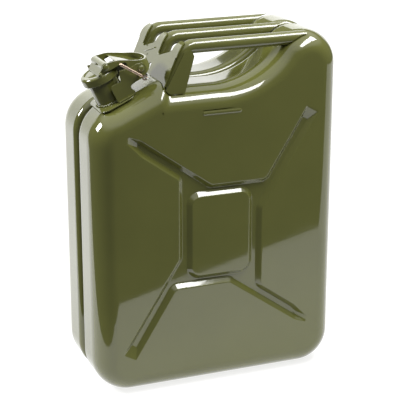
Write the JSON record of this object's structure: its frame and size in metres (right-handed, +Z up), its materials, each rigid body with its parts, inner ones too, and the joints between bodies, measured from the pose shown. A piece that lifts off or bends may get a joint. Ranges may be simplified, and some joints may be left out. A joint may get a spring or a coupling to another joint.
{
  "type": "fuel can",
  "caption": "Upright pressed-steel fuel can with a tube carrying handle, a slanted filler neck and a lid clamped by a cam lever.",
  "frame": {"origin": "middle of the footprint, on the surface the can stands on", "axes": "+X from the spout end to the air-hump end, +Y from the front wide face to the rear one, +Z up"},
  "size_m": [0.344, 0.1668, 0.476],
  "materials": {
    "enamel": "gloss dark olive enamel",
    "painted_weld": "rough weld under gloss enamel",
    "bare_steel": "zinc plated, satin",
    "coppered_steel": "copper plated, bright",
    "gasket_rubber": "matt black"
  },
  "bodies": {
    "can": {"front_shell": "enamel", "rear_shell": "enamel", "seam_weld": "painted_weld", "filler_neck": "enamel", "neck_saddle": "enamel", "neck_weld": "enamel", "clamp_bracket": "enamel", "lever_hinge_pin": "enamel", "hinge_washer_front": "enamel", "hinge_washer_rear": "enamel", "handle_front": "enamel", "handle_middle": "enamel", "handle_rear": "enamel", "handle_foot_plate": "enamel", "gusset_front": "enamel", "gusset_rear": "enamel", "breather_tube": "bare_steel"},
    "lever": {"cam_lever": "enamel", "lid_pin": "enamel"},
    "lid": {"lid": "enamel", "lid_gasket": "gasket_rubber", "lid_knuckle": "enamel", "lid_lug_front": "enamel", "lid_lug_rear": "enamel"},
    "locking_pin": {"locking_pin": "coppered_steel", "pin_ring": "bare_steel"}
  },
  "joints": [
    {"name": "lever_open", "type": "hinge", "parent": "can", "child": "lever", "pos_m": [-0.10054, -0.03, 0.4428], "axis": [0, 1, 0], "range_deg": [0, 100]},
    {"name": "lid_rock", "type": "hinge", "parent": "lever", "child": "lid", "pos_m": [-0.14558, -0.03, 0.44696], "axis": [0, 1, 0], "range_deg": [-3, 0]},
    {"name": "pin_pull", "type": "slide", "parent": "can", "child": "locking_pin", "axis": [0, -1, 0], "range_m": [0, 0.012]}
  ],
  "couplings": [
    {"joint": "lid_rock", "follows": "lever_open", "ratio": -0.03}
  ]
}
